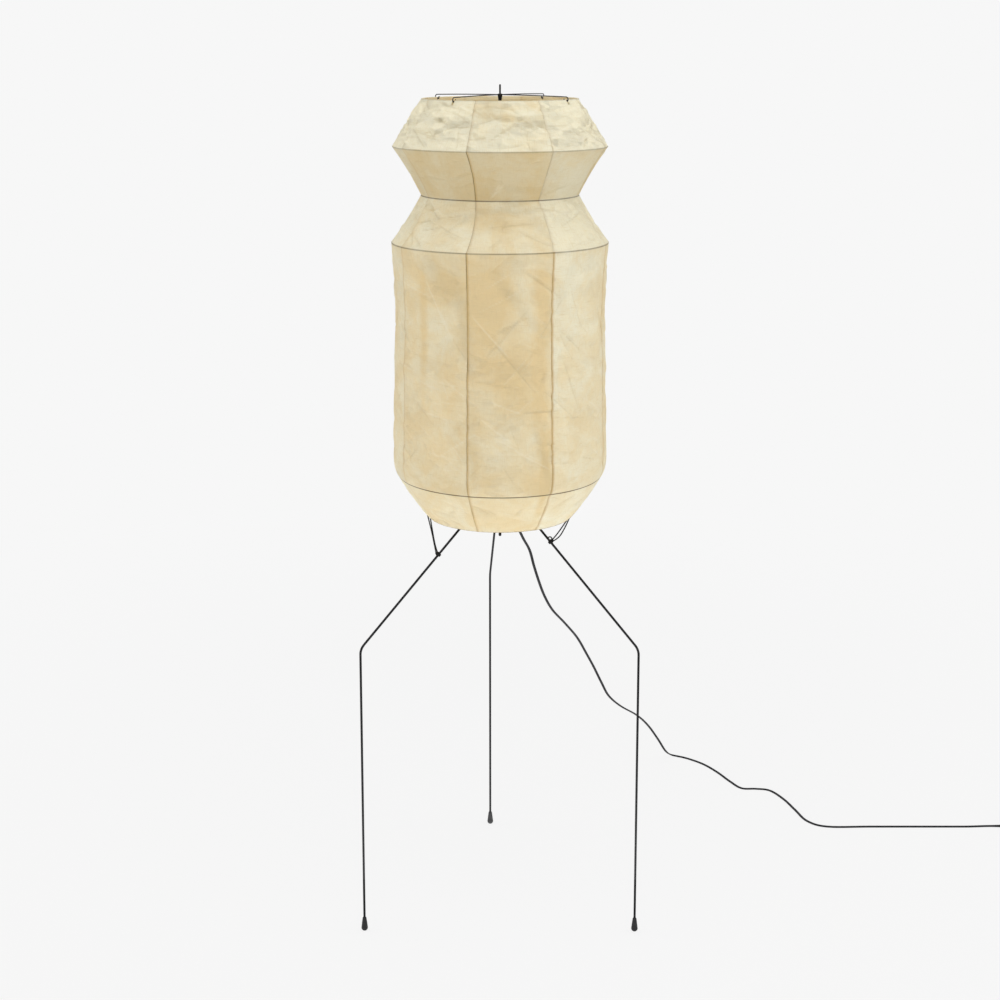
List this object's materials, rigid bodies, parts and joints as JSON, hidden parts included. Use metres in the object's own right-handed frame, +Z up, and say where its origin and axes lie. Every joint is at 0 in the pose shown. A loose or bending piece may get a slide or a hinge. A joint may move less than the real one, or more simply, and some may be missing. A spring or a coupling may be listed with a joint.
{
  "type": "paper lantern floor lamp",
  "caption": "Tall waisted lantern of lapped paper gores on wire hoops, held by sprung arms on a mast and tied down to a bent rod tripod, with lampholder, switch knob, bulb and mains cord.",
  "frame": {"origin": "on the floor, at the middle of the lamp's own footprint without its cord", "axes": "+Z up along the mast; +X to the viewer's right and -Y towards the viewer in the picture"},
  "size_m": [1.4008, 0.7942, 1.45],
  "materials": {
    "black_lacquer": "satin black lacquer over steel rod",
    "spring_wire": "blued spring wire",
    "foot_rubber": "matte",
    "hoop_wire": "dull coppered wire",
    "mulberry_paper": "matte, handmade long-fibred paper, translucent",
    "tie_cord": "waxed twisted cord",
    "brass": "satin",
    "black_steel": "blackened",
    "black_moulding": "moulded, soft gloss",
    "fibre_board": "pressed fibre",
    "dark_phenolic": "moulded",
    "cap_aluminium": "rolled, dull",
    "frosted_glass": "inside-frosted",
    "cord_vinyl": "soft matte sheath"
  },
  "bodies": {
    "lamp": {"hub_collar": "black_lacquer", "leg_left": "black_lacquer", "leg_right": "black_lacquer", "leg_rear": "black_lacquer", "foot_cap_left": "foot_rubber", "foot_cap_right": "foot_rubber", "foot_cap_rear": "foot_rubber", "mast": "black_lacquer", "spreader_boss": "black_lacquer", "spreader_arm_1": "spring_wire", "spreader_arm_2": "spring_wire", "spreader_arm_3": "spring_wire", "spreader_arm_4": "spring_wire", "hoop_top": "hoop_wire", "hoop_shoulder": "hoop_wire", "hoop_waist": "hoop_wire", "hoop_chest": "hoop_wire", "hoop_hip": "hoop_wire", "hoop_base": "hoop_wire", "paper_gore_1": "mulberry_paper", "paper_gore_2": "mulberry_paper", "paper_gore_3": "mulberry_paper", "paper_gore_4": "mulberry_paper", "paper_gore_5": "mulberry_paper", "paper_gore_6": "mulberry_paper", "paper_gore_7": "mulberry_paper", "paper_gore_8": "mulberry_paper", "tie_left": "tie_cord", "tie_right": "tie_cord", "tie_rear": "tie_cord", "holder_bracket": "black_lacquer", "holder_nipple": "brass", "nipple_nut": "brass", "set_screws": "black_steel", "cord_strain_relief": "cord_vinyl", "holder_cap": "black_moulding", "holder_shell": "black_moulding", "holder_liner": "fibre_board", "holder_core": "dark_phenolic", "screw_shell": "brass", "centre_contact": "brass", "cord_run": "cord_vinyl", "cord_coil": "cord_vinyl", "plug_body": "cord_vinyl", "plug_pins": "brass"},
    "knob": {"switch_knob": "dark_phenolic"},
    "bulb": {"bulb_cap": "cap_aluminium", "bulb_glass": "frosted_glass"}
  },
  "joints": [
    {"name": "switch_turn", "type": "hinge", "parent": "lamp", "child": "knob", "pos_m": [0.03001, -0.02677, 0.962], "axis": [0.766, 0.6428, 0], "continuous": true},
    {"name": "bulb_withdraw", "type": "slide", "parent": "lamp", "child": "bulb", "axis": [0, 0, 1], "range_m": [0, 0.045]}
  ]
}
